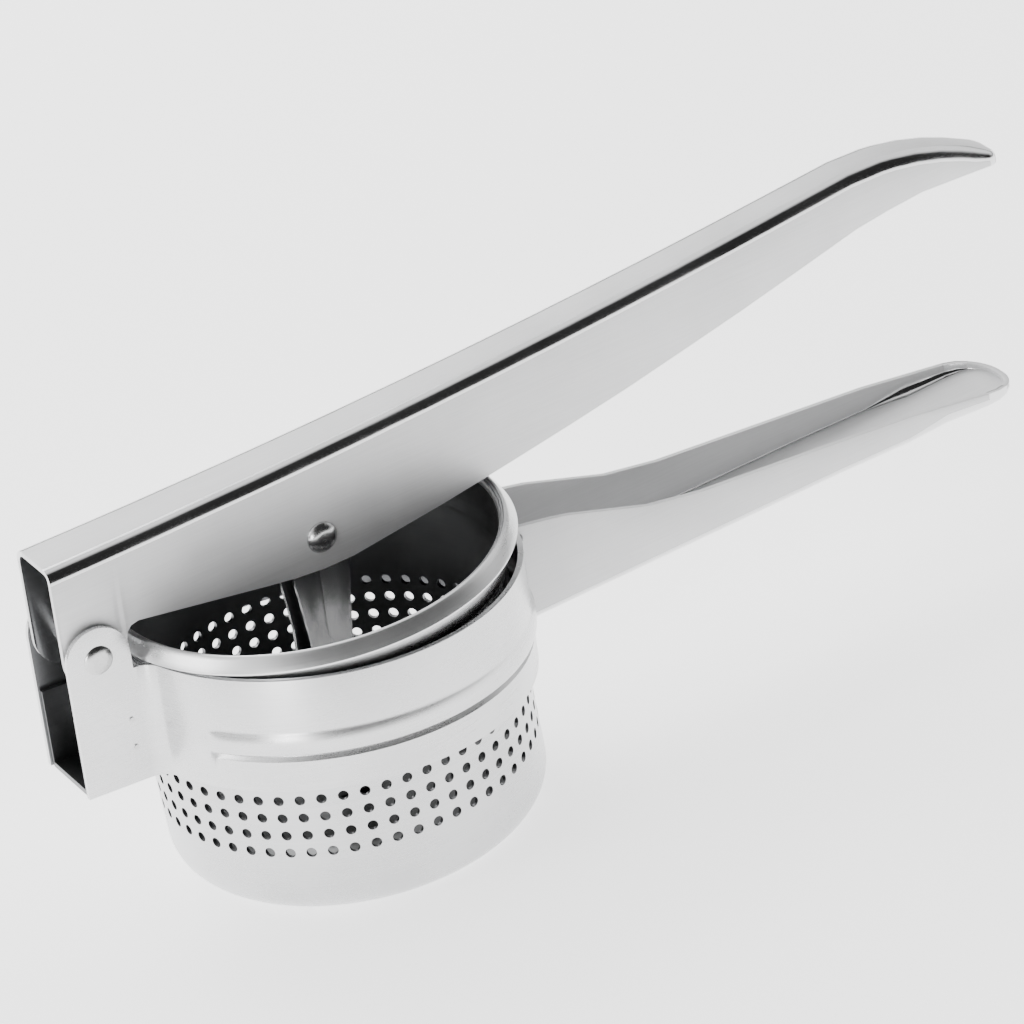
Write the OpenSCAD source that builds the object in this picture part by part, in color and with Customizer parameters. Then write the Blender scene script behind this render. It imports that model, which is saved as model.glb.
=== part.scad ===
// Potato ricer, in millimetres. +Z is up, +X runs from the hinge to the handle tips.
// The basket stands upright on the floor (z = 0) with its axis on the Z axis. The frame, the
// lever and the plunger share a second, slightly tipped set of axes: see in_frame().

/* [Basket] */
// outer radius of the basket wall
basket_r = 41; // [38:0.5:44]
// sheet thickness of the basket
basket_t = 0.9; // [0.6:0.1:1.2]
// rounding between the basket's wall and bottom
basket_corner = 7; // [3:0.5:10]
// total height of the basket
basket_h = 66; // [60:0.5:72]
// radius of the neck that sits inside the collar
neck_r = 42.2; // [41.2:0.1:42.5]
// height at which the neck starts
neck_z = 54; // [48:0.5:56]
// outer radius of the turned-over rim
rim_r = 45.2; // [44.4:0.1:46]
// height of the rim's lower edge
rim_low_z = 62.4; // [60:0.1:63]
// radius of the rim's upper, inner edge
rim_in_r = 43.1; // [42.6:0.1:43.8]

/* [Holes] */
// radius of one hole
hole_r = 1.25; // [0.8:0.05:1.6]
// holes in each row round the wall
hole_n = 56; // [48:2:60]
// rows of holes in the wall
hole_rows = 5; // [3:1:7]
// height of the lowest row
row_z = 16.6; // [12:0.2:20]
// distance from row to row
row_pitch = 4.25; // [3.5:0.05:5]
// distance between the rings of holes in the bottom
ring_pitch = 4.9; // [4:0.1:6]
// rings of holes in the bottom
ring_n = 6; // [3:1:6]

/* [Frame position] */
// angle by which the frame tips down at its handle end
frame_tip = 3.6; // [0:0.1:4]
// height of the frame's own origin above the floor
frame_z = 32.6; // [30:0.1:36]
// offset of the collar's axis from the basket's axis
frame_x = 0.94; // [0:0.02:1.5]
// small height correction of the collar
frame_dz = 0.08; // [0:0.02:0.5]

/* [Collar and cheeks] */
// outer radius of the collar
collar_r = 44.6; // [44:0.1:46]
// height of the collar
collar_h = 26; // [20:0.5:30]
// sheet thickness of the frame pieces and the lever
sheet = 1.2; // [0.8:0.1:1.6]
// half the outside width across the two cheeks
cheek_half = 10; // [9:0.1:12]
// X of the cheeks' back edge
cheek_back = -61.4; // [-64:0.1:-61.2]
// radius of the cheeks' rounded ears
ear_r = 7.2; // [6.8:0.1:7.2]
// lower edge of the collar's pressed bead
bead_z = 8.3; // [6:0.1:10]
// height of the bead
bead_h = 5.5; // [3:0.1:7]
// how far the bead stands out
bead_out = 0.8; // [0.4:0.1:1.2]
// half the angle that the bead runs round the collar
bead_half = 152; // [90:1:155]
// height of the bracket between the cheeks
spacer_h = 18; // [12:0.5:20]

/* [Hinge] */
// X of the hinge rivet
hinge_x = -54.2; // [-54.6:0.1:-54]
// height of the hinge rivet
hinge_z = 30.5; // [28:0.1:32]
// radius of the hinge rivet's shank
hinge_pin_r = 2.3; // [2:0.05:2.6]
// radius of the hinge rivet's heads
hinge_head_r = 3.2; // [2.8:0.1:4]
// height of the hinge rivet's heads
hinge_head_h = 1.1; // [0.8:0.1:1.6]
// radial play of a rivet in a hole that turns on it
play = 0.06; // [0.03:0.01:0.1]

/* [Lever] */
// half the width at the hinge end
lever_half_a = 8; // [7.5:0.1:8.2]
// half the width at the tip
lever_half_b = 5.4; // [5:0.1:7]
// X of the open back end
lever_back = -61; // [-61.2:0.1:-60]
// height of the top at the back end
lever_back_z = 52.2; // [50:0.1:54]
// X where the top starts to curve down
lever_bend_x = 132; // [120:1:140]
// height of the top where it starts to curve down
lever_bend_z = 75.2; // [70:0.1:80]
// large radius of the top's long sweep
lever_sweep_r = 1850; // [1000:50:4000]
// radius of the curved-down tip
lever_tip_r = 60; // [40:1:90]
// X of the tip
lever_tip_x = 172; // [165:0.1:180]
// radius of the lobe below the hinge rivet
lobe_r = 7.4; // [6.5:0.1:7.4]
// rounding of the tip's two corners
tip_round = 2.4; // [2:0.1:5]

/* [Plunger] */
// X of the plunger rivet
pin_x = 0.4; // [-3:0.1:4]
// height of the plunger rivet
pin_z = 38.2; // [36:0.1:40]
// radius of the plunger rivet's shank
pin_r = 2.4; // [2:0.05:2.8]
// radius of the plunger rivet's heads
pin_head_r = 3.5; // [3:0.1:4]
// height of the plunger rivet's heads
pin_head_h = 1.6; // [1:0.1:2]
// half the outside width of the yoke
yoke_half = 4.8; // [4.4:0.1:5]
// half the yoke's breadth near the rivet
yoke_top = 6.8; // [6:0.1:8]
// half the yoke's breadth lower down
yoke_low = 4.75; // [4:0.05:6]
// distance from the plunger rivet to the face that presses
plunger_len = 65; // [60:0.5:66]
// radius of the plunger plate
plate_r = 37; // [35:0.1:37.2]
// height of the plate's turned-up edge
plate_h = 4; // [2:0.5:6]

/* [Lower handle] */
// half the width of the channel
grip_half = 10; // [9:0.1:12]
// X of the tip
grip_tip_x = 169.8; // [165:0.1:180]
// rounding of the tip seen from above
grip_round = 9.2; // [6:0.1:9.8]

/* [Hidden] */
fine = 96;
eps = 0.01;
steel = [0.80, 0.80, 0.81];
dark = [0.62, 0.62, 0.64];
collar_in = collar_r - sheet;
plate_z = pin_z - plunger_len;
cheek_front = -collar_in + 0.6;
side_dir = [90, 0, 0];

// everything that belongs to the frame is drawn in the frame's own axes, and then placed
module in_frame() {
    translate([0, 0, frame_z])
        rotate([0, frame_tip, 0])
            translate([-frame_x, 0, -frame_dz])
                children();
}

// a 2D side view (X, Z) made into a slab from y = a to y = b
module slab(a, b) {
    translate([0, b, 0])
        rotate(side_dir)
            linear_extrude(height = b - a)
                children();
}

// a round bar along Y from y = a to y = b at (x, z)
module bar(x, z, r, a, b) {
    translate([x, b, z])
        rotate(side_dir)
            cylinder(h = b - a, r = r, $fn = fine);
}

// centre of the circle of radius r through p and q, to the left of p -> q when s = 1
function ctr(p, q, r, s) =
    let (m = (p + q) / 2, d = q - p, l = norm(d), h = sqrt(r * r - l * l / 4))
    m + s * h * [-d[1], d[0]] / l;

// ---- basket ----

// half section of the basket shell: radius across, height up
module basket_section() {
    lip = 0.9;
    difference() {
        union() {
            translate([basket_r - basket_corner, basket_corner])
                circle(r = basket_corner, $fn = fine);
            square([basket_r - basket_corner, basket_corner]);
            translate([0, basket_corner])
                square([basket_r, neck_z - basket_corner]);
            polygon([[0, neck_z], [basket_r, neck_z], [neck_r, neck_z + 3], [neck_r, rim_low_z],
                     [rim_r - lip, rim_low_z], [rim_r, rim_low_z + 0.5], [rim_r, rim_low_z + 1],
                     [rim_in_r + 0.9, basket_h - 0.2], [rim_in_r + 0.3, basket_h], [0, basket_h]]);
        }
        translate([basket_r - basket_corner, basket_corner])
            circle(r = basket_corner - basket_t, $fn = fine);
        translate([-1, basket_t])
            square([basket_r - basket_corner + 1, basket_corner]);
        translate([-1, basket_corner])
            square([basket_r - basket_t + 1, neck_z - basket_corner + 0.2]);
        polygon([[-1, neck_z], [basket_r - basket_t, neck_z], [neck_r - basket_t, neck_z + 3],
                 [neck_r - basket_t, rim_low_z + 1], [rim_in_r - 0.2, basket_h - 1],
                 [rim_in_r, basket_h + 1], [-1, basket_h + 1]]);
        // hollow under the turned-over rim
        polygon([[neck_r, rim_low_z - 1], [neck_r, rim_low_z + 0.9], [rim_in_r + 0.5, basket_h - 1.4],
                 [rim_r - 0.9, rim_low_z + 0.9], [rim_r - 0.9, rim_low_z - 1]]);
    }
}

module basket() {
    color(steel)
        difference() {
            rotate_extrude($fn = 180)
                intersection() {
                    basket_section();
                    square([rim_r + 1, basket_h + 1]);
                }
            for (j = [0 : hole_rows - 1])
                for (i = [0 : hole_n - 1])
                    rotate([0, 0, i * 360 / hole_n])
                        translate([basket_r - basket_t - 1, 0, row_z + j * row_pitch])
                            rotate([0, 90, 0])
                                cylinder(h = basket_t + 2, r = hole_r, $fn = 24);
            for (k = [1 : ring_n])
                for (i = [0 : 6 * k - 1])
                    rotate([0, 0, i * 60 / k])
                        translate([k * ring_pitch, 0, -1])
                            cylinder(h = basket_t + 2, r = hole_r, $fn = 24);
        }
}

// ---- frame ----

// one cheek seen from the side, with its ear round the hinge rivet
module cheek_side() {
    translate([cheek_back, 0])
        square([cheek_front - cheek_back, collar_h]);
    translate([hinge_x - ear_r, 0])
        square([2 * ear_r, hinge_z]);
    translate([hinge_x, hinge_z])
        circle(r = ear_r, $fn = fine);
}

// the bead as a ring from -bead_half to +bead_half, moved inwards by g
module bead_ring(g) {
    root = 0.4;
    rise = 1.6;
    out = collar_r - g + bead_out;
    low = bead_z + g * 0.4;
    high = bead_z + bead_h - g * 0.4;
    rotate([0, 0, -bead_half])
        rotate_extrude(angle = 2 * bead_half, $fn = 360)
            polygon([[out - bead_out - root, low - 2 * root], [out, low + rise],
                     [out, high - rise], [out - bead_out - root, high + 2 * root]]);
}

module collar_band() {
    color(steel)
        in_frame()
            difference() {
                union() {
                    cylinder(h = collar_h, r = collar_r, $fn = 360);
                    slab(-cheek_half, cheek_half) cheek_side();
                    bead_ring(0);
                }
                translate([0, 0, -1])
                    cylinder(h = collar_h + 2, r = collar_in, $fn = 360);
                translate([-80, -cheek_half + sheet, -1])
                    cube([40, 2 * (cheek_half - sheet), 80]);
                bead_ring(sheet);
                bar(hinge_x, hinge_z, hinge_pin_r, -20, 20);
            }
}

module cheek_spacer() {
    w = cheek_half - sheet;
    color(dark)
        in_frame()
            translate([cheek_back + 0.4, 0, 0])
                rotate([90, 0, 90])
                    linear_extrude(height = 13.4)
                        difference() {
                            union() {
                                translate([-w, 1.5])
                                    square([2 * w, spacer_h - 1.5]);
                                translate([-w + 1.5, 0])
                                    square([2 * w - 3, 2]);
                                for (s = [-1, 1])
                                    translate([s * (w - 1.5), 1.5])
                                        circle(r = 1.5, $fn = fine);
                            }
                            translate([-w + sheet, sheet])
                                square([2 * (w - sheet), spacer_h]);
                        }
}

// small spot-weld dimples on the outside of the cheeks
module cheek_welds() {
    color(dark)
        in_frame()
            for (s = [-1, 1])
                for (p = [[-49.2, 8.1], [-49.2, 14.6]])
                    translate([p[0], s * (cheek_half + 0.15), p[1]])
                        rotate(side_dir)
                            cylinder(h = 0.3, r = 0.55, center = true, $fn = 32);
}

// side views of the lower handle
module grip_side() {
    polygon([[40, 2.4], [122, 9.6], [grip_tip_x + 2, 13], [grip_tip_x + 2, 13.6], [163, 15.6],
             [140, 17.2], [88, 18], [75, 19.3], [55, 24.3], [40, 26]]);
}

module grip_side_in() {
    polygon([[30, 2.6 + sheet], [40, 2.4 + sheet], [122, 9.6 + sheet], [150, 11.6 + sheet],
             [grip_tip_x + 4, 13.2 + sheet], [grip_tip_x + 4, 40], [30, 40]]);
}

module grip_plan(g) {
    w = grip_half - g;
    r = grip_round - g;
    x = grip_tip_x - g;
    translate([30, -w])
        square([x - r - 30 - 4, 2 * w]);
    translate([x - r - 4.5, -w])
        square([4.5, 2 * w]);
    translate([x - r - 1, -(w - r)])
        square([r + 1, 2 * (w - r)]);
    for (s = [-1, 1])
        translate([x - r, s * (w - r)])
            circle(r = r, $fn = fine);
}

module lower_handle() {
    color(steel)
        in_frame()
            difference() {
                intersection() {
                    slab(-20, 20) grip_side();
                    linear_extrude(height = 60) grip_plan(0);
                }
                intersection() {
                    slab(-20, 20) grip_side_in();
                    linear_extrude(height = 60) grip_plan(sheet);
                }
                translate([0, 0, -5])
                    cylinder(h = 60, r = collar_r, $fn = 360);
                translate([0, 0, bead_z - 0.2])
                    cylinder(h = bead_h + 0.4, r = collar_r + bead_out + 0.05, $fn = 360);
            }
}

// tack welds where the lower handle's walls meet the collar
module handle_welds() {
    a = asin(grip_half / collar_r) + 0.5;
    color(dark)
        in_frame()
            for (s = [-1, 1])
                for (z = [4.2, 23.2])
                    difference() {
                        rotate([0, 0, s * a])
                            translate([collar_r + 0.25, 0, z])
                                sphere(r = 0.95, $fn = 32);
                        translate([0, 0, -5])
                            cylinder(h = 60, r = collar_r, $fn = 360);
                        translate([40, -grip_half, 0])
                            cube([20, 2 * grip_half, 40]);
                    }
}

// ---- hinge ----

// a rivet along Y: shank from -half to half, with a domed head on each end
module rivet(x, z, r, half, head_r, head_h) {
    ball = (head_r * head_r + head_h * head_h) / (2 * head_h);
    bar(x, z, r, -half, half);
    for (s = [-1, 1])
        intersection() {
            translate([x, s * (half + head_h - ball), z])
                sphere(r = ball, $fn = fine);
            translate([x, s * (half + head_h / 2 + 0.5), z])
                rotate(side_dir)
                    cylinder(h = head_h + 1, r = head_r + 1, center = true, $fn = fine);
        }
}

module hinge_rivet() {
    color(steel)
        in_frame()
            rivet(hinge_x, hinge_z, hinge_pin_r, cheek_half, hinge_head_r, hinge_head_h);
}

module washer(x, z, r_in, r_out, a, b) {
    difference() {
        bar(x, z, r_out, a, b);
        bar(x, z, r_in, a - 1, b + 1);
    }
}

module hinge_washers() {
    color(dark)
        in_frame() {
            washer(hinge_x, hinge_z, hinge_pin_r + play, 5, 8.04, cheek_half - sheet);
            washer(hinge_x, hinge_z, hinge_pin_r + play, 5, -(cheek_half - sheet), -8.04);
        }
}

// ---- lever ----

top_a = [lever_back, lever_back_z];
top_b = [lever_bend_x, lever_bend_z];
sweep_c = ctr(top_a, top_b, lever_sweep_r, 1);
tip_dir = (sweep_c - top_b) / lever_sweep_r;
tip_c = top_b - lever_tip_r * tip_dir;

// everything below the top surface, g under it
module under_top(g) {
    difference() {
        polygon([[lever_back - 2, 0], [lever_bend_x, 0], top_b - [0, g], top_b + [0, 20],
                 [lever_back - 2, 100]]);
        translate(sweep_c)
            circle(r = lever_sweep_r + g, $fn = 720);
        translate([lever_bend_x, 0])
            square([200, 200]);
    }
    intersection() {
        translate(tip_c)
            circle(r = lever_tip_r - g, $fn = 360);
        translate([lever_bend_x - eps, 0])
            square([60, 120]);
    }
}

// a bow below the chord p -> q, with radius r
module bow(p, q, r) {
    intersection() {
        translate(ctr(p, q, r, 1))
            circle(r = r, $fn = 720);
        polygon([p, [p[0], p[1] - 8], [q[0], q[1] - 8], q]);
    }
}

// everything above the lever's lower edge
module above_low() {
    polygon([[lever_back, 36], [-46.2, 35.2], [-14, 31.7], [14, 32.6], [135, 62.9], [152, 65.9],
             [180, 66.3], [180, 100], [lever_back, 100]]);
    bow([-14, 31.7], [14, 32.6], 80);
    bow([14, 32.6], [135, 62.9], 1200);
    translate([lever_back, hinge_z])
        square([2 * lobe_r, 10]);
    translate([lever_back + lobe_r, hinge_z])
        circle(r = lobe_r, $fn = fine);
    difference() {
        translate([-46.21, 32.2])
            square([3, 3]);
        translate([-43.2, 32])
            circle(r = 3, $fn = fine);
    }
}

// the lever seen from above, g inside its outer faces
module lever_plan(g) {
    k = (lever_half_a - lever_half_b) / (lever_tip_x - lever_back);
    xe = g > 0 ? lever_tip_x + 10 : lever_tip_x;
    wa = lever_half_a - g + 2 * k;
    wb = lever_half_b - g - k * (xe - lever_tip_x);
    difference() {
        polygon([[lever_back - 2, -wa], [xe, -wb], [xe, wb], [lever_back - 2, wa]]);
        if (g == 0)
            for (s = [-1, 1])
                difference() {
                    translate([xe - tip_round, s * (wb - tip_round) + (s > 0 ? 0 : -20)])
                        square([tip_round + 1, 20]);
                    translate([xe - tip_round, s * (wb - tip_round)])
                        circle(r = tip_round, $fn = fine);
                }
    }
}

module lever() {
    color(steel)
        in_frame()
            difference() {
                intersection() {
                    slab(-12, 12)
                        intersection() {
                            under_top(0);
                            above_low();
                            translate([lever_back, 0])
                                square([260, 120]);
                        }
                    linear_extrude(height = 120) lever_plan(0);
                }
                intersection() {
                    slab(-12, 12) under_top(sheet);
                    linear_extrude(height = 120) lever_plan(sheet);
                }
                bar(hinge_x, hinge_z, hinge_pin_r + play, -20, 20);
                bar(pin_x, pin_z, pin_r, -20, 20);
            }
}

// ---- plunger ----

module plunger_rivet() {
    color(steel)
        in_frame()
            rivet(pin_x, pin_z, pin_r, 7.33, pin_head_r, pin_head_h);
}

module plunger_washers() {
    color(dark)
        in_frame() {
            washer(pin_x, pin_z, pin_r + play, 4.4, yoke_half + 0.05, 6.05);
            washer(pin_x, pin_z, pin_r + play, 4.4, -6.05, -yoke_half - 0.05);
        }
}

module plunger_yoke() {
    foot = plate_z + sheet;
    color(dark)
        in_frame()
            difference() {
                slab(-yoke_half, yoke_half)
                    union() {
                        translate([pin_x, pin_z])
                            circle(r = yoke_top, $fn = fine);
                        polygon([[pin_x - yoke_top, pin_z], [pin_x - yoke_top, 31],
                                 [pin_x - yoke_low, 13], [pin_x - yoke_low, foot],
                                 [pin_x + yoke_low, foot], [pin_x + yoke_low, 13],
                                 [pin_x + yoke_top, 31], [pin_x + yoke_top, pin_z]]);
                    }
                slab(-yoke_half + sheet, yoke_half - sheet)
                    translate([-20, foot + sheet])
                        square([40, 100]);
                bar(pin_x, pin_z, pin_r + play, -20, 20);
                for (s = [-1, 1])
                    translate([pin_x + s * 2.6, 0, foot - 1])
                        cylinder(h = 4, r = 1.1, $fn = 32);
            }
}

module plunger_plate() {
    color(steel)
        in_frame()
            translate([pin_x, 0, plate_z])
                difference() {
                    cylinder(h = plate_h, r = plate_r, $fn = 180);
                    translate([0, 0, sheet])
                        cylinder(h = plate_h, r = plate_r - sheet, $fn = 180);
                    for (s = [-1, 1])
                        translate([s * 2.6, 0, -1])
                            cylinder(h = 4, r = 1.1, $fn = 32);
                }
}

module plate_rivets() {
    color(dark)
        in_frame()
            for (s = [-1, 1])
                translate([pin_x + s * 2.6, 0, plate_z]) {
                    cylinder(h = 2 * sheet + 0.01, r = 1.1, $fn = 32);
                    translate([0, 0, 2 * sheet])
                        cylinder(h = 0.7, r = 1.9, $fn = 32);
                }
}

basket();
collar_band();
cheek_spacer();
cheek_welds();
lower_handle();
handle_welds();
hinge_rivet();
hinge_washers();
lever();
plunger_rivet();
plunger_washers();
plunger_yoke();
plunger_plate();
plate_rivets();
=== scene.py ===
"""Potato ricer: smooth pressed-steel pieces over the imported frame, with their finishes and a studio."""
import math

import bmesh
import bpy
from mathutils import Matrix, Vector


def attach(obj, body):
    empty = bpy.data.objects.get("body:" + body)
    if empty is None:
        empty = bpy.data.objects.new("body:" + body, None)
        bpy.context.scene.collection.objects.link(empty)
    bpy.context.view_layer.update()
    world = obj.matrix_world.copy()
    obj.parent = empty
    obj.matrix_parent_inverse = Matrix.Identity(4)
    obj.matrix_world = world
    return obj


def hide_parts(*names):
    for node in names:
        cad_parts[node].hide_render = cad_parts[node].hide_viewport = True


bl_info = {
    "name": "Potato ricer",
    "version": (1, 0, 0),
    "blender": (4, 5, 0),
    "location": "3D View > Sidebar > Ricer",
    "description": "Builds a pressed-steel potato ricer, its finishes and a small studio",
    "category": "Object",
}

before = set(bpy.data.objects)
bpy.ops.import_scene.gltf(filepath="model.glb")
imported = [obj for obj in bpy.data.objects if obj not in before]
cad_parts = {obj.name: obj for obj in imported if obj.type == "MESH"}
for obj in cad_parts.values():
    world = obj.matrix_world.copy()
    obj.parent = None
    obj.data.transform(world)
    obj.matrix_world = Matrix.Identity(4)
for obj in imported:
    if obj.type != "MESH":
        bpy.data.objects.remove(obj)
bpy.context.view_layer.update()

MM = 0.001
FULL_TURN = 2 * math.pi
NEAR = 0.02 * MM
# angles at which a rounded tip is cut into stations
TIP_TURNS = (0, 20, 38, 52, 64, 74, 82, 90)
# noise scale across the brushed hairs, per metre
HAIR_SCALE = 3000
# the frame's own axes: tipped about Y, with the collar's lower edge part of the way up the basket
FRAME_TILT = math.radians(3.6)
COLLAR_LOW_EDGE = 32.6 * MM
FRAME_PLACE = (
    Matrix.Translation((0, 0, COLLAR_LOW_EDGE))
    @ Matrix.Rotation(FRAME_TILT, 4, "Y")
    @ Matrix.Translation((-0.94 * MM, 0, -0.08 * MM))
)


def length(name, description, millimetres):
    """A length property, given in millimetres and kept in metres."""
    return bpy.props.FloatProperty(
        name=name, description=description, default=millimetres * MM, unit="LENGTH", precision=5
    )


def colour(name, description, value):
    """A colour property."""
    return bpy.props.FloatVectorProperty(
        name=name, description=description, default=value, size=3, subtype="COLOR", min=0, max=1
    )


def amount(name, description, value):
    """A plain number property between 0 and 1."""
    return bpy.props.FloatProperty(
        name=name, description=description, default=value, subtype="FACTOR", min=0, max=1
    )


class BasketSizes(bpy.types.PropertyGroup):
    radius: length("Radius", "outside radius of the basket's wall", 41)
    sheet: length("Sheet", "thickness of the basket's sheet", 0.9)
    hole: length("Hole radius", "radius of one hole", 1.15)
    first_row: length("First row", "height of the lowest row of holes", 16.6)
    pitch: length("Row pitch", "distance from row to row", 4.25)
    ring_pitch: length("Ring pitch", "distance from ring to ring in the bottom", 4.9)
    around: bpy.props.IntProperty(name="Holes around", description="holes in one row", default=56)
    rows: bpy.props.IntProperty(name="Rows", description="rows of holes in the wall", default=5)
    rings: bpy.props.IntProperty(name="Rings", description="rings of holes in the bottom", default=6)


class FrameSizes(bpy.types.PropertyGroup):
    sheet: length("Sheet", "thickness of the frame's and lever's sheet", 1.2)
    collar_radius: length("Collar radius", "outside radius of the collar", 44.6)
    collar_height: length("Collar height", "height of the collar", 26)
    cheek_half: length("Cheek half width", "half the width across the cheeks", 10)
    cheek_bend: length("Cheek bend", "hollow radius from the collar into a cheek", 4.6)
    cheek_back: length("Cheek back", "X of the cheeks' back edge", -61.4)
    ear_radius: length("Ear radius", "radius of the ears round the hinge rivet", 7.2)
    hinge_x: length("Hinge X", "X of the hinge rivet", -54.2)
    hinge_z: length("Hinge height", "height of the hinge rivet", 30.5)
    bead_low: length("Bead", "height of the bead's lower edge", 8.3)
    bead_high: length("Bead top", "height of the bead's upper edge", 13.8)
    bead_out: length("Bead depth", "how far the bead stands out", 0.8)
    bead_half: bpy.props.FloatProperty(
        name="Bead half angle", description="angle at which the bead fades out",
        default=math.radians(152), subtype="ANGLE",
    )
    grip_half: length("Grip half width", "half the width of the lower handle", 10)
    grip_round: length("Grip round", "rounding of the lower handle's tip", 9.2)
    grip_tip: length("Grip tip", "X of the lower handle's tip", 169.8)


class LeverSizes(bpy.types.PropertyGroup):
    half_back: length("Back half width", "half the width at the hinge end", 8)
    half_tip: length("Tip half width", "half the width at the tip", 5.4)
    back: length("Back", "X of the open back end", -61)
    back_height: length("Back height", "height of the top at the back end", 52.2)
    bend_x: length("Bend X", "X where the top starts to curve down", 132)
    bend_height: length("Bend height", "height of the top there", 75.2)
    sweep: length("Sweep", "radius of the top's long sweep", 1850)
    tip_curve: length("Tip curve", "radius of the curved-down tip", 60)
    tip: length("Tip", "X of the tip", 172)
    lobe: length("Lobe", "radius of the lobe below the hinge", 7.4)
    corner: length("Corner", "rounding of the tip's corners", 2.4)
    fold: length("Fold", "outside radius of the folds", 2.8)


class PlungerSizes(bpy.types.PropertyGroup):
    pin_x: length("Rivet X", "X of the plunger rivet", 0.4)
    pin_z: length("Rivet height", "height of the plunger rivet", 38.2)
    yoke_half: length("Yoke half width", "half the outside width of the yoke", 4.8)
    top_breadth: length("Top breadth", "half the yoke's breadth at the rivet", 6.8)
    low_breadth: length("Low breadth", "half the yoke's breadth lower down", 4.75)
    drop: length("Drop", "distance from the rivet to the pressing face", 65)
    plate: length("Plate radius", "radius of the plate", 37)
    plate_edge: length("Plate edge", "height of the plate's turned-up edge", 4)


class FinishSettings(bpy.types.PropertyGroup):
    steel: colour("Steel", "polished steel of the frame, the lever and the yoke", (0.72, 0.722, 0.727))
    basket: colour("Basket steel", "dull steel of the basket", (0.62, 0.624, 0.63))
    inner: colour("Inner steel", "steel of the plunger plate and the tack welds", (0.5, 0.505, 0.51))
    # painted shade: this dark colour goes on the inner and hidden faces and stands for the shade inside
    # the cup, the collar, the lever and the yoke
    inside: colour("Inside", "dull steel on the hidden sides", (0.15, 0.152, 0.156))
    rivet: colour("Rivet steel", "steel of the rivets", (0.6, 0.6, 0.6))
    roughness: amount("Roughness", "roughness of the polished steel", 0.24)


class StageSettings(bpy.types.PropertyGroup):
    floor: colour("Floor", "colour of the floor", (0.96, 0.96, 0.96))
    lens: bpy.props.FloatProperty(name="Lens", description="focal length", default=248.8)


# ---- modelling by hand, in edit mode ----


def begin(name, *finishes):
    """Starts a mesh of one selected vertex at the origin, with its finishes, in edit mode."""
    if bpy.context.mode != "OBJECT":
        bpy.ops.object.mode_set(mode="OBJECT")
    bpy.ops.object.select_all(action="DESELECT")
    bpy.ops.mesh.primitive_plane_add(size=MM)
    obj = bpy.context.object
    obj.name = name
    for key in finishes:
        obj.data.materials.append(finish_for(key))
    bpy.ops.object.mode_set(mode="EDIT")
    everything()
    bpy.ops.mesh.merge(type="CENTER")
    return obj


def trace(points):
    """Draws a line through the points by extruding the selected vertex from the origin."""
    place = Vector((0, 0, 0))
    for number, point in enumerate(points):
        step = Vector(point) - place
        if number == 0:
            bpy.ops.transform.translate(value=step)
        else:
            bpy.ops.mesh.extrude_region_move(TRANSFORM_OT_translate={"value": step})
        place = Vector(point)


def extrude(x=0, y=0, z=0):
    """Extrudes what is selected by a step in metres."""
    bpy.ops.mesh.extrude_region_move(TRANSFORM_OT_translate={"value": (x, y, z)})


def select(obj, test, kind="VERT"):
    """Selects the vertices whose place, or the faces which, pass the test."""
    bpy.ops.mesh.select_mode(type=kind)
    bpy.ops.mesh.select_all(action="DESELECT")
    mesh = bmesh.from_edit_mesh(obj.data)
    if kind == "VERT":
        chosen = [vert for vert in mesh.verts if test(vert.co)]
    else:
        chosen = [face for face in mesh.faces if test(face)]
    if not chosen:
        raise RuntimeError("nothing to select on " + obj.name)
    for part in chosen:
        part.select_set(True)
    mesh.select_flush_mode()
    bmesh.update_edit_mesh(obj.data)


def give_finish(obj, test, number):
    """Gives the faces that pass the test the finish with this number."""
    select(obj, test, kind="FACE")
    obj.active_material_index = number
    bpy.ops.object.material_slot_assign()


def everything():
    """Selects the whole mesh."""
    bpy.ops.mesh.select_mode(type="VERT")
    bpy.ops.mesh.select_all(action="SELECT")


def merge(distance=NEAR):
    """Merges vertices that lie together and turns the faces outwards."""
    everything()
    bpy.ops.mesh.remove_doubles(threshold=distance)
    bpy.ops.mesh.normals_make_consistent(inside=False)


def add_modifier(obj, kind, **values):
    """Adds a modifier and applies it."""
    if bpy.context.mode != "OBJECT":
        bpy.ops.object.mode_set(mode="OBJECT")
    bpy.context.view_layer.objects.active = obj
    modifier = obj.modifiers.new(kind.title(), kind)
    for key, value in values.items():
        setattr(modifier, key, value)
    bpy.ops.object.modifier_apply(modifier=modifier.name)


def thicken(obj, sheet, edge=0.22, inside=0, rim=0):
    """Gives a surface its sheet thickness, with softly broken edges. inside and rim are the
    numbers of the finishes on its inner side and on its cut edges."""
    add_modifier(obj, "SOLIDIFY", thickness=sheet, offset=-1, use_even_offset=True,
                 material_offset=inside, material_offset_rim=rim)
    if edge:
        add_modifier(
            obj, "BEVEL", width=edge * MM, segments=2, limit_method="ANGLE",
            angle_limit=math.radians(50), use_clamp_overlap=True,
        )


def put(obj, place=Matrix.Identity(4), smooth=30):
    """Leaves edit mode, sets the piece in place with its origin at the centre, and smooths it."""
    if bpy.context.mode != "OBJECT":
        bpy.ops.object.mode_set(mode="OBJECT")
    bpy.ops.object.select_all(action="DESELECT")
    obj.select_set(True)
    bpy.context.view_layer.objects.active = obj
    obj.matrix_world = place @ obj.matrix_world
    bpy.ops.object.transform_apply(location=True, rotation=True, scale=True)
    bpy.ops.object.shade_smooth_by_angle(angle=math.radians(smooth))


def join(obj, *others):
    """Joins the others into obj."""
    if bpy.context.mode != "OBJECT":
        bpy.ops.object.mode_set(mode="OBJECT")
    bpy.ops.object.select_all(action="DESELECT")
    for other in others:
        other.select_set(True)
    obj.select_set(True)
    bpy.context.view_layer.objects.active = obj
    bpy.ops.object.join()


def hand_over(obj, body, node):
    """Gives a finished piece its body and hides the CAD node that it stands for."""
    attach(obj, body)
    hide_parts(node)


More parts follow.
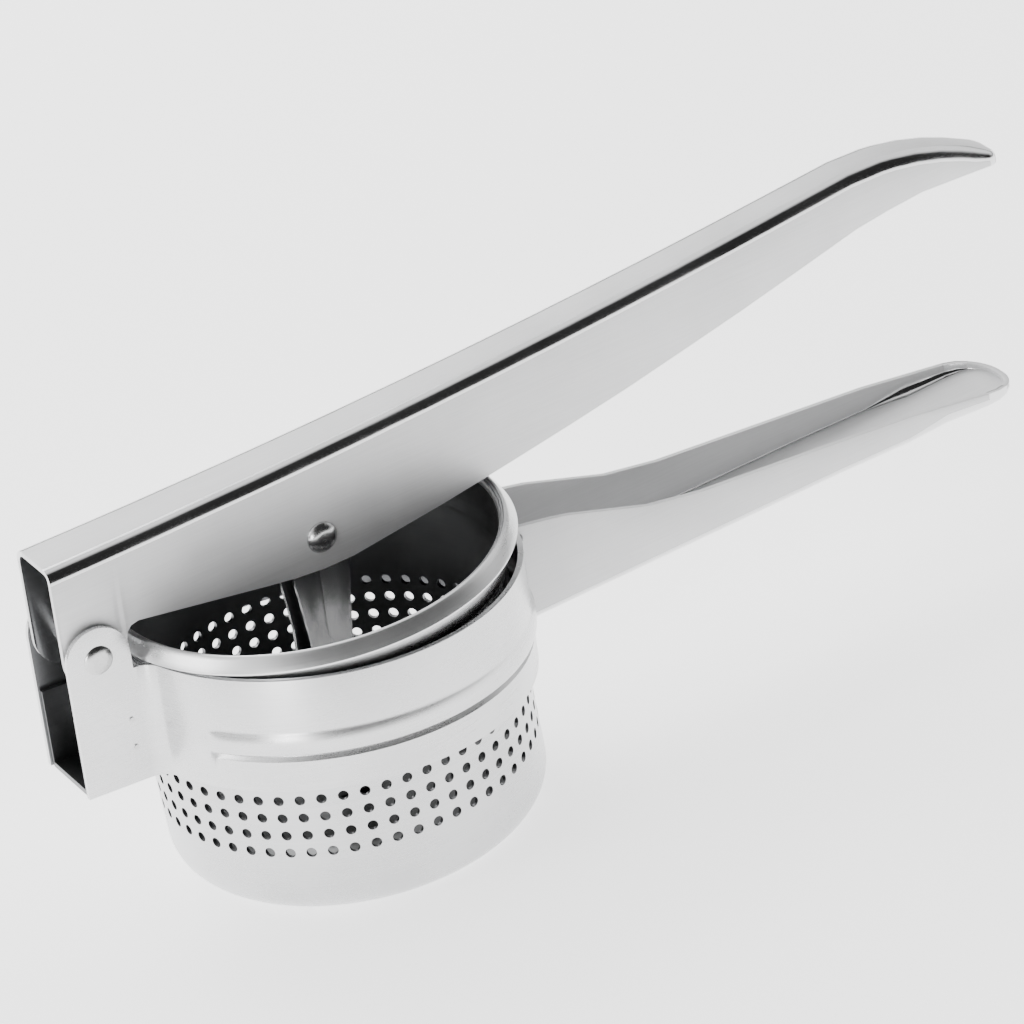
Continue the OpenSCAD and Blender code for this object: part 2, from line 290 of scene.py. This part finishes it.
def arc(centre, radius, start, end, steps):
    """Points on an arc, from angle start to angle end in degrees."""
    points = []
    for step in range(steps + 1):
        turn = math.radians(start + (end - start) * step / steps)
        points.append((centre[0] + radius * math.cos(turn), centre[1] + radius * math.sin(turn)))
    return points


def spin_round(steps, axis=(0, 0, 1)):
    """Spins what is selected once round the axis."""
    bpy.ops.mesh.spin(steps=steps, angle=FULL_TURN, center=(0, 0, 0), axis=axis)
    merge()


def spun(name, finishes, outline, steps, axis=(0, 0, 1)):
    """A piece spun round the Z or the Y axis from its outline, which is given in millimetres as
    distance from the axis and place along it."""
    obj = begin(name, *finishes)
    trace([Vector((reach, 0, 0)) * MM + Vector(axis) * place * MM for reach, place in outline])
    everything()
    spin_round(steps, axis)
    return obj


def copies_round(count):
    """Copies what is selected so that count copies stand evenly round the Z axis."""
    turn = FULL_TURN * (count - 1) / count
    bpy.ops.mesh.spin(steps=count - 1, dupli=True, angle=turn, center=(0, 0, 0), axis=(0, 0, 1))


def channel(name, finishes, stations, fold):
    """A pressed channel along X with rounded folds, closed at its far end. A station is x, height
    of the web, height of the walls' free edges, and half the width. fold(x) is the outer radius."""
    rings = []
    for x, web, edge, half in stations:
        up = 1 if web > edge else -1
        turn = min(fold(x), 0.6 * abs(web - edge), 0.8 * half)
        side = [(half, edge)]
        for step in range(5):
            a = math.radians(22.5 * step)
            side.append((half - turn + turn * math.cos(a), web - up * turn * (1 - math.sin(a))))
        rings.append([Vector((x, -y, z)) for y, z in side])
        rings[-1] += [Vector((x, y, z)) for y, z in reversed(side)]
    obj = begin(name, *finishes)
    trace(rings[0])
    everything()
    aside = Vector((0, 1, 0))
    for ring, following in zip(rings, rings[1:]):
        step = Vector((following[0].x - ring[0].x, 0, 0))
        bpy.ops.mesh.extrude_region_move(TRANSFORM_OT_translate={"value": step})
        for start, end in zip(ring, following):
            lifted = start + step
            select(obj, lambda p: (p - lifted).length < 0.001 * MM)
            bpy.ops.transform.translate(value=end - lifted + aside)
        select(obj, lambda p: p.y > 0.5)
        bpy.ops.transform.translate(value=-aside)
    bpy.ops.mesh.edge_face_add()
    merge(0.005 * MM)
    give_finish(obj, on_a_fold, 1)
    return obj


def on_a_fold(face):
    """A fold's faces look neither straight up, nor straight sideways, nor out at the tip."""
    aside, ahead = abs(face.normal.y), abs(face.normal.x)
    return 0.1 < aside < 0.995 and ahead < 0.7


# ---- finishes ----


class Value:
    """A number on a node socket that can be written in sums."""

    def __init__(self, finish, socket):
        self.finish = finish
        self.socket = socket

    def _sum(self, operation, first, second):
        return self.finish.node("ShaderNodeMath", {"operation": operation}, {0: first, 1: second})

    def __add__(self, other):
        return self._sum("ADD", self, other)

    __radd__ = __add__

    def __sub__(self, other):
        return self._sum("SUBTRACT", self, other)

    def __rsub__(self, other):
        return self._sum("SUBTRACT", other, self)

    def __mul__(self, other):
        return self._sum("MULTIPLY", self, other)

    __rmul__ = __mul__


class Finish:
    """The nodes of a material or of the world, built one by one round its shader."""

    def __init__(self, owner, shader="Principled BSDF"):
        self.owner = owner
        owner.use_nodes = True
        self.tree = owner.node_tree
        self.shader = self.tree.nodes[shader]

    def node(self, kind, settings=None, inputs=None, output=0):
        made = self.tree.nodes.new(kind)
        for key, value in (settings or {}).items():
            if key == "stops":
                ramp = made.color_ramp
                for number, (place, shade) in enumerate(value):
                    stop = ramp.elements[number] if number < 2 else ramp.elements.new(place)
                    stop.position = place
                    stop.color = (shade, shade, shade, 1)
            else:
                setattr(made, key, value)
        for key, value in (inputs or {}).items():
            self.feed(made.inputs[key], value)
        return Value(self, made.outputs[output])

    def feed(self, socket, value):
        if isinstance(value, Value):
            self.tree.links.new(value.socket, socket)
        elif hasattr(socket.default_value, "__len__") and len(value) == 3 < len(socket.default_value):
            socket.default_value = (*value, 1)
        else:
            socket.default_value = value

    def shade(self, **values):
        for key, value in values.items():
            self.feed(self.shader.inputs[key.replace("_", " ")], value)
        return self.owner


def brushed(name, tint, roughness, grain=(1, 1, 1), fine=1.0, cloud=0.05, bump=0.12, rings=False,
            metal=1.0):
    """Satin steel with hairlines. grain is the Mapping scale, small along the hairs."""
    finish = Finish(bpy.data.materials.new(name))
    place = finish.node("ShaderNodeTexCoord", output=3)
    if rings:
        # distance from the axis and height make the hairs run round the piece
        flat = finish.node("ShaderNodeVectorMath", {"operation": "MULTIPLY"}, {0: place, 1: (1, 1, 0)})
        across = finish.node("ShaderNodeVectorMath", {"operation": "LENGTH"}, {0: flat}, output=1)
        height = finish.node("ShaderNodeSeparateXYZ", None, {0: place}, output=2)
        place_hair = finish.node(
            "ShaderNodeCombineXYZ", None,
            {0: across * HAIR_SCALE * fine, 1: height * HAIR_SCALE * fine, 2: 0.0},
        )
    else:
        scale = tuple(HAIR_SCALE * fine * g for g in grain)
        place_hair = finish.node(
            "ShaderNodeMapping", {"vector_type": "POINT"}, {"Vector": place, "Scale": scale}
        )
    hair = finish.node("ShaderNodeTexNoise", None, {"Vector": place_hair, "Scale": 1.0, "Detail": 4.0})
    haze = finish.node("ShaderNodeTexNoise", None, {"Vector": place, "Scale": 60.0, "Detail": 5.0})
    speck = finish.node("ShaderNodeTexNoise", None, {"Vector": place, "Scale": 900.0, "Detail": 2.0})
    rough = roughness + (hair - 0.5) * 0.12 + (haze - 0.5) * 0.16 + (speck - 0.5) * 0.05
    dark = tuple(c * (1 - 2.2 * cloud) for c in tint)
    light = tuple(min(1, c * (1 + 1.4 * cloud)) for c in tint)
    cloudy = haze * 0.6 + hair * 0.4
    blend = finish.node("ShaderNodeValToRGB", {"stops": [(0.3, 0.0), (0.7, 1.0)]}, {0: cloudy})
    mixed = finish.node("ShaderNodeMix", {"data_type": "RGBA"}, {0: blend, 6: dark, 7: light}, output=2)
    normal = finish.node(
        "ShaderNodeBump", None, {"Strength": bump, "Distance": 0.00004, "Height": hair + speck * 0.4}
    )
    return finish.shade(Base_Color=mixed, Metallic=metal, Roughness=rough, Normal=normal)


FINISHES = {}


def finish_for(key):
    """Gives the finish of this name. Each is made once."""
    look = bpy.context.scene.ricer_finish
    steel, inner, inside = tuple(look.steel), tuple(look.inner), tuple(look.inside)
    # name, colour, roughness beside the polished steel's, and how the hairlines lie
    table = {
        "collar": ("satin_steel_round", steel, 0.04, {"grain": (0.04, 0.04, 1), "metal": 0.8}),
        # painted shade: the cup's inner faces and the holes' cut edges take the dark inside colour
        "length": ("satin_steel_long", steel, 0.22, {"grain": (0.02, 1, 1), "metal": 0.3}),
        "fold": ("polished_fold", steel, -0.06, {"grain": (0.02, 1, 1), "bump": 0.06}),
        "basket": ("drawn_steel", tuple(look.basket), 0.04, {"fine": 0.8, "rings": True}),
        "cup_painted_shade": ("cup_inside_steel", inside, 0.1, {"fine": 0.8, "rings": True}),
        "rim": ("rim_steel", steel, 0.06, {"fine": 0.5, "rings": True, "bump": 0.4, "metal": 0.9}),
        # painted shade: the dark inside colour for the inner faces of the collar, the lever and the yoke,
        # and for the cheek spacer
        "inside": ("inside_steel", inside, 0.08, {"grain": (0.05, 1, 1)}),
        "yoke": ("yoke_steel", steel, -0.04, {"grain": (1, 1, 0.05)}),
        "plate": ("plate_steel", tuple(0.45 * c for c in inner), 0.1, {"rings": True, "cloud": 0.08}),
        "rivet": ("rivet_steel", tuple(look.rivet), 0.02, {"fine": 0.5, "cloud": 0.08, "bump": 0.2}),
        "weld": ("weld_steel", tuple(0.6 * c for c in inner), 0.26,
                 {"fine": 0.4, "cloud": 0.3, "bump": 0.4}),
    }
    if key not in FINISHES:
        name, tint, rougher, hairs = table[key]
        FINISHES[key] = brushed(name, tint, look.roughness + rougher, **hairs)
    return FINISHES[key]


# ---- the pieces ----


class RICER_OT_basket(bpy.types.Operator):
    """Makes the perforated basket: a drawn cup with a turned-over rim"""

    bl_idname = "ricer.basket"
    bl_label = "Basket"

    def execute(self, context):
        s = context.scene.ricer_basket
        low = s.first_row - s.pitch / 2
        high = s.first_row + (s.rows - 0.5) * s.pitch
        around = 4 * s.around
        # one cell of the perforated wall: a square loop bridged to a round hole
        # the second finish is the painted shade of the cup's inside
        wall = begin("basket", "basket", "cup_painted_shade")
        bpy.ops.mesh.delete(type="VERT")
        centre = (s.radius, 0, s.first_row)
        bpy.ops.mesh.primitive_grid_add(
            x_subdivisions=4, y_subdivisions=4, size=1, location=centre, rotation=(0, math.pi / 2, 0)
        )
        bpy.ops.transform.resize(
            value=(1, FULL_TURN * s.radius / s.around, s.pitch), center_override=centre
        )
        half = 0.4 * s.pitch
        select(wall, lambda p: abs(p.y) < half and abs(p.z - s.first_row) < half)
        bpy.ops.mesh.delete(type="VERT")
        bpy.ops.mesh.primitive_circle_add(
            vertices=16, radius=s.hole, location=centre, rotation=(0, math.pi / 2, 0)
        )
        everything()
        bpy.ops.mesh.bridge_edge_loops()
        for _ in range(s.rows - 1):
            bpy.ops.mesh.duplicate_move(TRANSFORM_OT_translate={"value": (0, 0, s.pitch)})
        everything()
        copies_round(s.around)
        add_modifier(wall, "CAST", cast_type="CYLINDER", factor=1, size=s.radius,
                     use_radius_as_size=False, use_z=False)

        # the smooth parts below and above the holes, spun from their outlines
        r = s.radius / MM
        corner = 7
        floor_edge = 32
        # the second finish is painted shade on the cup's inner faces
        drawn = ("basket", "cup_painted_shade")
        bend = arc((r - corner, corner), corner, 0, -90, 10)
        cup = spun("cup_bottom", drawn, [(r, low / MM)] + bend + [(floor_edge, 0)], around)
        outline = [(r, high / MM), (r, 50), (r, 53.6), (41.25, 54.4), (42, 56.4), (42.2, 57.2),
                   (42.2, 62), (42.25, 64.2)]
        neck = spun("cup_top", drawn, outline, around)
        join(wall, cup, neck)
        bpy.ops.object.mode_set(mode="EDIT")
        merge(0.1 * MM)
        # the inner faces and the holes' cut edges take the painted shade of the cup's inside
        thicken(wall, s.sheet, edge=0, inside=1, rim=1)

        # the lip: rolled over outwards and down, with fine steps at its inner edge
        outline = [(41.3, 62), (41.35, 64), (41.55, 64.9), (41.85, 65.5), (42.0, 65.6), (42.1, 65.3),
                   (42.25, 65.75), (42.5, 65.9), (42.65, 65.5), (42.8, 66), (43.15, 65.95), (43.4, 65.8),
                   (43.9, 65.1), (44.5, 64.2), (44.95, 63.5), (45.2, 63.0), (45.15, 62.6), (44.9, 62.4),
                   (44.6, 62.5), (44.3, 63.1), (43.4, 64.5), (42.6, 65.0), (42.2, 64.2), (42.2, 62),
                   (41.3, 62)]
        lip = spun("lip", ["rim"], outline, around)

        # the flat bottom with its rings of holes
        bpy.ops.object.mode_set(mode="OBJECT")
        bpy.ops.object.select_all(action="DESELECT")
        bpy.ops.mesh.primitive_cylinder_add(
            vertices=around, radius=floor_edge * MM, depth=s.sheet, location=(0, 0, s.sheet / 2)
        )
        flat = context.object
        flat.data.materials.append(finish_for("basket"))
        cutter = begin("cutter")
        bpy.ops.mesh.delete(type="VERT")
        for ring in range(1, s.rings + 1):
            bpy.ops.mesh.select_all(action="DESELECT")
            bpy.ops.mesh.primitive_cylinder_add(
                vertices=16, radius=s.hole, depth=4 * s.sheet,
                location=(ring * s.ring_pitch, 0, s.sheet / 2),
            )
            copies_round(6 * ring)
        bpy.ops.object.mode_set(mode="OBJECT")
        add_modifier(flat, "BOOLEAN", object=cutter, operation="DIFFERENCE", solver="EXACT")
        bpy.data.objects.remove(cutter)
        join(wall, lip, flat)
        put(wall)
        hand_over(wall, "basket", "basket")
        return {"FINISHED"}


class RICER_OT_collar(bpy.types.Operator):
    """Makes the collar: one strip round the basket, bent back into two cheeks with round ears"""

    bl_idname = "ricer.collar"
    bl_label = "Collar and cheeks"

    def execute(self, context):
        s = context.scene.ricer_frame
        ring, half, bend = s.collar_radius, s.cheek_half, s.cheek_bend
        turn = math.degrees(math.asin((half + bend) / (ring + bend)))
        bend_x = -(ring + bend) * math.cos(math.radians(turn))
        # the bead: how far each level stands out, as a share of its depth
        low, high = s.bead_low, s.bead_high
        bead = ((low - 1.4 * MM, 0), (low - 0.5 * MM, -1), (low + 0.5 * MM, 0.75), (low + 1.3 * MM, 1),
                (high - 1.8 * MM, 1), (high - 0.6 * MM, 0.3), (high + 0.2 * MM, 0))
        levels = [0] + [z for z, lift in bead] + [s.collar_height]
        plan = arc((bend_x, -half - bend), bend, 90, turn, 8)
        plan += arc((0, 0), ring, turn - 180, 180 - turn, 200)[1:]
        plan += arc((bend_x, half + bend), bend, -turn, -90, 8)[1:]
        # the second finish is the dark inside colour: painted shade on the collar's inner faces, in the
        # gap round the basket
        strip = begin("collar_band", "collar", "inside")
        trace([(x, y, 0) for x, y in plan])
        everything()
        for under, over in zip(levels, levels[1:]):
            extrude(z=over - under)
        for z, lift in bead:
            for near, far, share in ((0, 0.965, 1), (0.965, 0.98, 0.75), (0.98, 0.992, 0.4)):
                if lift:
                    select(strip, lambda p: abs(p.z - z) < NEAR
                           and near * s.bead_half <= abs(math.atan2(p.y, p.x)) < far * s.bead_half)
                    grow = 1 + s.bead_out * lift * share / ring
                    bpy.ops.transform.resize(value=(grow, grow, 1), center_override=(0, 0, 0))
        # a cheek is one flat face with an ear; its front edge has the strip's levels
        side = [(s.cheek_back, 0)] + [(bend_x, z) for z in levels]
        side += [(s.hinge_x + s.ear_radius + 0.01 * MM, s.collar_height)]
        side += arc((s.hinge_x, s.hinge_z), s.ear_radius, 0, 180, 28)
        cheeks = []
        for y in (-half, half):
            # the second finish is painted shade on the cheeks' inner faces
            cheek = begin("cheek", "collar", "inside")
            trace([(x, y, z) for x, z in side])
            everything()
            bpy.ops.mesh.edge_face_add()
            cheeks.append(cheek)
        join(strip, *cheeks)
        bpy.ops.object.mode_set(mode="EDIT")
        merge()
        # inner faces take the painted shade
        thicken(strip, s.sheet, edge=0.2, inside=1)
        put(strip, FRAME_PLACE)
        hand_over(strip, "frame", "collar_band")
        return {"FINISHED"}


class RICER_OT_lower_handle(bpy.types.Operator):
    """Makes the lower handle: an open channel with a round scoop of a tip"""

    bl_idname = "ricer.lower_handle"
    bl_label = "Lower handle"

    def execute(self, context):
        s = context.scene.ricer_frame
        top = [(40, 26), (55, 24.3), (75, 19.3), (88, 18), (140, 17.2), (163, 15.6), (174, 13.9)]
        low = [(40, 2.4), (122, 9.6), (174, 13)]
        tip, corner, half = 1000 * s.grip_tip, 1000 * s.grip_round, 1000 * s.grip_half
        places = [43.6, 46, 49, 52, 56, 60, 65, 70, 75, 80, 88, 100, 115, 122, 130, 140, 150, 158]
        places += [tip - corner + corner * math.sin(math.radians(a)) for a in TIP_TURNS]
        stations = []
        for x in places:
            width = half
            if x > tip - corner:
                width = half - corner + math.sqrt(max(0, corner ** 2 - (x - tip + corner) ** 2))
            stations.append((x * MM, along(low, x) * MM, along(top, x) * MM, width * MM))
        grip = channel("lower_handle", ["length", "fold"], stations,
                       lambda x: 1.5 * MM + 5 * max(0, min(1, (x / MM - 144) / 14)) * MM)
        thicken(grip, s.sheet, edge=0.25)
        put(grip, FRAME_PLACE, smooth=40)
        hand_over(grip, "frame", "lower_handle")
        return {"FINISHED"}


def along(points, x):
    """Height at x on a line through points."""
    for (ax, az), (bx, bz) in zip(points, points[1:]):
        if x <= bx:
            return az + (bz - az) * (x - ax) / (bx - ax)
    return points[-1][1]


class RICER_OT_lever(bpy.types.Operator):
    """Makes the upper lever: a long channel, open below, curved down at its tip"""

    bl_idname = "ricer.lever"
    bl_label = "Lever"

    def execute(self, context):
        s = context.scene.ricer_lever
        f = context.scene.ricer_frame
        back, bend, tip = (1000 * v for v in (s.back, s.bend_x, s.tip))
        back_z, bend_z = 1000 * s.back_height, 1000 * s.bend_height
        sweep, curl = 1000 * s.sweep, 1000 * s.tip_curve
        # centre of the long sweep, above the chord from the back end to the bend
        chord = Vector((bend - back, bend_z - back_z))
        across = Vector((-chord.y, chord.x)).normalized()
        middle = Vector(((back + bend) / 2, (back_z + bend_z) / 2))
        sweep_c = middle + across * math.sqrt(sweep ** 2 - (chord.length / 2) ** 2)
        down = (sweep_c - Vector((bend, bend_z))).normalized()
        curl_c = Vector((bend, bend_z)) - down * curl
        lobe_r, hinge_z = 1000 * s.lobe, 1000 * f.hinge_z
        lobe_x = back + lobe_r
        low = [(back, hinge_z)]
        for a in (12, 25, 40, 56, 73, 90, 108, 126, 140):
            turn = math.radians(a)
            low.append((lobe_x - lobe_r * math.cos(turn), hinge_z - lobe_r * math.sin(turn)))
        # from the lobe up to the cup, down to the plunger rivet, then the long rise to the tip
        low += [(-46.9, 28.6), (-46.45, 31), (-46.0, 33.2), (-45, 34.4), (-43.2, 34.9), (-36, 34.1),
                (-14, 31.7), (-7, 31.05), (0, 30.85), (7, 31.3), (14, 32.6), (30, 35.6), (45, 38.9),
                (60, 42.3), (75, 45.9), (90, 49.9), (105, 54.0), (120, 58.4), (135, 62.9), (143, 64.5),
                (152, 65.9), (163, 66.1), (174, 66.2)]
        corner = 1000 * s.corner
        places = [p[0] for p in low[:-2]]
        places += [146, 158, 163, 166]
        places += [tip - corner + corner * math.sin(math.radians(a)) for a in TIP_TURNS]
        stations = []
        half_a, half_b = 1000 * s.half_back, 1000 * s.half_tip
        for x in sorted(set(places)):
            if x <= bend:
                web = sweep_c.y - math.sqrt(sweep ** 2 - (x - sweep_c.x) ** 2)
            else:
                web = curl_c.y + math.sqrt(curl ** 2 - (x - curl_c.x) ** 2)
            width = half_a + (half_b - half_a) * (x - back) / (tip - back)
            if x > tip - corner:
                width -= corner - math.sqrt(max(0, corner ** 2 - (x - tip + corner) ** 2))
            edge = min(along(low, x), web - 1.9)
            stations.append((x * MM, web * MM, edge * MM, width * MM))
        # the third finish is the dark inside colour: painted shade inside the open channel
        lever = channel("lever", ["length", "fold", "inside"], stations, lambda x: s.fold)
        thicken(lever, f.sheet, edge=0.25, inside=2)
        put(lever, FRAME_PLACE, smooth=35)
        hand_over(lever, "lever", "lever")
        return {"FINISHED"}


class RICER_OT_rivets(bpy.types.Operator):
    """Makes the two rivets that hold the lever and the plunger, with low domed heads"""

    bl_idname = "ricer.rivets"
    bl_label = "Rivets"

    def execute(self, context):
        f, p = context.scene.ricer_frame, context.scene.ricer_plunger
        for name, x, z, shank, reach, head, rise, body in (
            ("hinge_rivet", f.hinge_x, f.hinge_z, 2.3, 10, 3.2, 0.8, "frame"),
            ("plunger_rivet", p.pin_x, p.pin_z, 2.4, 7.33, 3.5, 1.6, "lever"),
        ):
            dome = [(0, rise), (0.35 * head, 0.98 * rise), (0.62 * head, 0.88 * rise),
                    (0.82 * head, 0.58 * rise), (0.94 * head, 0.34 * rise), (head, 0.12 * rise),
                    (0.985 * head, 0), (shank, 0)]
            outline = [(r, reach + h) for r, h in dome] + [(r, -reach - h) for r, h in reversed(dome)]
            rivet = spun(name, ["rivet"], outline, 40, axis=(0, 1, 0))
            put(rivet, FRAME_PLACE @ Matrix.Translation((x, 0, z)), smooth=50)
            hand_over(rivet, body, name)
        return {"FINISHED"}


class RICER_OT_plunger(bpy.types.Operator):
    """Makes the yoke, one strap folded into a fork with a pressed groove, and the plunger plate"""

    bl_idname = "ricer.plunger"
    bl_label = "Plunger"

    def execute(self, context):
        p, f = context.scene.ricer_plunger, context.scene.ricer_frame
        foot = p.pin_z - p.drop + f.sheet
        side, turn = p.yoke_half, 2.5 * MM
        wide, slim = p.top_breadth, p.low_breadth
        # one leg from its round top down to the foot, as Y, height and half breadth
        leg = [(side, p.pin_z + wide * math.cos(math.radians(a)), wide * math.sin(math.radians(a)))
               for a in (6, 18, 30, 45, 60, 75, 90)]
        for z, b in ((34, 6.8), (31, 6.8), (28.5, 6.5), (26, 6.25), (23, 5.87), (20, 5.5), (13, 4.75)):
            leg.append((side, z * MM, b * MM))
        leg += [(side, foot + turn + z * MM, slim) for z in (24, 12, 0)]
        for a in (22, 45, 68, 90):
            t = math.radians(a)
            leg.append((side - turn + turn * math.cos(t), foot + turn - turn * math.sin(t), slim))
        path = leg + [(-y, z, b) for y, z, b in reversed(leg)]
        # the second finish is the dark inside colour: painted shade on the yoke's inner faces, between
        # its legs
        yoke = begin("plunger_yoke", "yoke", "inside")
        trace([(0, y, z) for y, z, b in path])
        everything()
        for _ in range(6):
            extrude(x=MM)
        for y, z, b in path:
            select(yoke, lambda q: abs(q.y - y) < NEAR and abs(q.z - z) < NEAR)
            bpy.ops.transform.translate(value=(-3 * MM, 0, 0))
            bpy.ops.transform.resize(value=(b / (3 * MM), 1, 1), center_override=(0, 0, 0))
            if 12 * MM < z < p.pin_z - 5 * MM:
                # the pressed groove, deepest in the middle
                for sink, reach in ((1.5 * MM, 0), (0.3 * MM, 1 / 3)):
                    select(yoke, lambda q: abs(q.z - z) < NEAR and abs(q.y - y) < NEAR
                           and abs(abs(q.x) / b - reach) < 0.05)
                    bpy.ops.transform.translate(value=(0, -math.copysign(sink, y), 0))
        merge()
        # inner faces take the painted shade
        thicken(yoke, f.sheet, edge=0.2, inside=1)
        put(yoke, FRAME_PLACE @ Matrix.Translation((p.pin_x, 0, 0)), smooth=35)
        hand_over(yoke, "plunger", "plunger_yoke")

        r = p.plate / MM
        outline = [(0, 0), (6, 0), (7, 0.35), (9, 0.35), (10, 0), (22, 0), (23.2, 0.5), (26, 0.5),
                   (27.2, 0), (r - 1.6, 0)]
        outline += arc((r - 1.5, 1.5), 1.5, -80, 0, 6) + [(r, p.plate_edge / MM)]
        plate = spun("plunger_plate", ["plate"], outline, 144)
        thicken(plate, f.sheet, edge=0.2)
        put(plate, FRAME_PLACE @ Matrix.Translation((p.pin_x, 0, p.pin_z - p.drop)), smooth=35)
        hand_over(plate, "plunger", "plunger_plate")
        return {"FINISHED"}


class RICER_OT_small_parts(bpy.types.Operator):
    """Gives the small nodes that keep their own shape their finishes"""

    bl_idname = "ricer.small_parts"
    bl_label = "Washers, spacer and welds"

    def execute(self, context):
        for node, key in (
            ("hinge_washers", "rivet"), ("plunger_washers", "rivet"), ("plate_rivets", "rivet"),
            # the cheek spacer takes the dark inside colour, a painted shade between the cheeks
            ("cheek_spacer", "inside"), ("cheek_welds", "rivet"), ("handle_welds", "weld"),
        ):
            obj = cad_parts[node]
            for number in range(len(obj.material_slots)):
                obj.material_slots[number].material = finish_for(key)
        return {"FINISHED"}


class RICER_OT_stage(bpy.types.Operator):
    """Sets the floor, the light and the camera"""

    bl_idname = "ricer.stage"
    bl_label = "Stage"

    def execute(self, context):
        s = context.scene.ricer_stage
        bpy.ops.object.select_all(action="DESELECT")
        bpy.ops.mesh.primitive_plane_add(size=12)
        floor = context.object
        floor.name = "floor"
        ground = Finish(bpy.data.materials.new("paper_floor"))
        place = ground.node("ShaderNodeTexCoord", output=3)
        fleck = ground.node("ShaderNodeTexNoise", None, {"Vector": place, "Scale": 40.0})
        floor.data.materials.append(
            ground.shade(Base_Color=tuple(s.floor), Roughness=0.85 + fleck * 0.1,
                         Emission_Color=(1.0, 1.0, 1.0, 1.0), Emission_Strength=1.7)
        )
        # a bright room, dark behind the camera and in a low band all round
        world = bpy.data.worlds.new("studio")
        room = Finish(world, "Background")
        toward = room.node("ShaderNodeTexCoord")
        front = room.node("ShaderNodeVectorMath", {"operation": "DOT_PRODUCT"},
                          {0: toward, 1: (0.25, -0.85, 0.46)}, output=1)
        height = room.node("ShaderNodeSeparateXYZ", None, {0: toward}, output=2)
        wall = room.node("ShaderNodeValToRGB", {"stops": [(0.42, 1.0), (0.7, 0.02)]}, {0: front})
        band = room.node("ShaderNodeValToRGB", {"stops": [(0.08, 0.16), (0.3, 1.0)]}, {0: height})
        shade = room.node("ShaderNodeMix", {"data_type": "RGBA", "blend_type": "MULTIPLY"},
                          {0: 1.0, 6: wall, 7: band}, output=2)
        room.shade(Color=shade, Strength=1.5)
        context.scene.world = world
        for name, place, size, power in (
            ("softbox_back", (-0.1, 1.1, 0.9), 0.9, 16),
            ("softbox_left", (-1.2, 0.1, 0.7), 0.6, 6),
            ("softbox_front", (-0.85, -0.8, 0.22), 0.3, 3.5),
        ):
            bpy.ops.object.light_add(type="AREA", location=place)
            light = context.object
            light.name = name
            light.data.size = size
            light.data.energy = power
            aim = (Vector((0.04, 0, 0.05)) - Vector(place)).to_track_quat("-Z", "Y")
            light.rotation_euler = aim.to_euler()
        bpy.ops.object.camera_add()
        camera = context.object
        right = Vector((0.8585, -0.4803, -0.1793))
        up = Vector((0.3757, 0.3514, 0.8575))
        back = Vector((-0.3489, -0.8036, 0.4822))
        turn = Matrix((right, up, back)).transposed().to_4x4()
        stand = Vector((-0.4730, -1.2063, 0.7764))
        camera.matrix_world = Matrix.Translation(stand) @ turn
        camera.data.lens = s.lens
        camera.data.sensor_width = 36
        camera.data.shift_x = -0.0102
        camera.data.shift_y = -0.0012
        camera.data.clip_end = 20
        context.scene.camera = camera
        return {"FINISHED"}


class RICER_PT_panel(bpy.types.Panel):
    """Lists the sizes, the finishes and the steps"""

    bl_label = "Potato ricer"
    bl_idname = "RICER_PT_panel"
    bl_space_type = "VIEW_3D"
    bl_region_type = "UI"
    bl_category = "Ricer"

    def draw(self, context):
        for group in GROUPS:
            box = self.layout.box()
            box.label(text=group.replace("ricer_", "").title())
            settings = getattr(context.scene, group)
            for name in settings.__annotations__:
                box.prop(settings, name)
        for step in STEPS:
            self.layout.operator(step.bl_idname)


GROUPS = {
    "ricer_basket": BasketSizes,
    "ricer_frame": FrameSizes,
    "ricer_lever": LeverSizes,
    "ricer_plunger": PlungerSizes,
    "ricer_finish": FinishSettings,
    "ricer_stage": StageSettings,
}
STEPS = (
    RICER_OT_stage,
    RICER_OT_basket,
    RICER_OT_collar,
    RICER_OT_lower_handle,
    RICER_OT_lever,
    RICER_OT_rivets,
    RICER_OT_plunger,
    RICER_OT_small_parts,
)


def register():
    """Registers the sizes, the steps and the panel."""
    for name, group in GROUPS.items():
        bpy.utils.register_class(group)
        setattr(bpy.types.Scene, name, bpy.props.PointerProperty(type=group))
    for step in STEPS + (RICER_PT_panel,):
        bpy.utils.register_class(step)


def unregister():
    """Takes them all out again."""
    for step in reversed(STEPS + (RICER_PT_panel,)):
        bpy.utils.unregister_class(step)
    for name, group in GROUPS.items():
        delattr(bpy.types.Scene, name)
        bpy.utils.unregister_class(group)


def main():
    register()
    for step in STEPS:
        family, name = step.bl_idname.split(".")
        if getattr(getattr(bpy.ops, family), name)() != {"FINISHED"}:
            raise RuntimeError(step.bl_label + " was not finished")


if __name__ == "__main__":
    main()
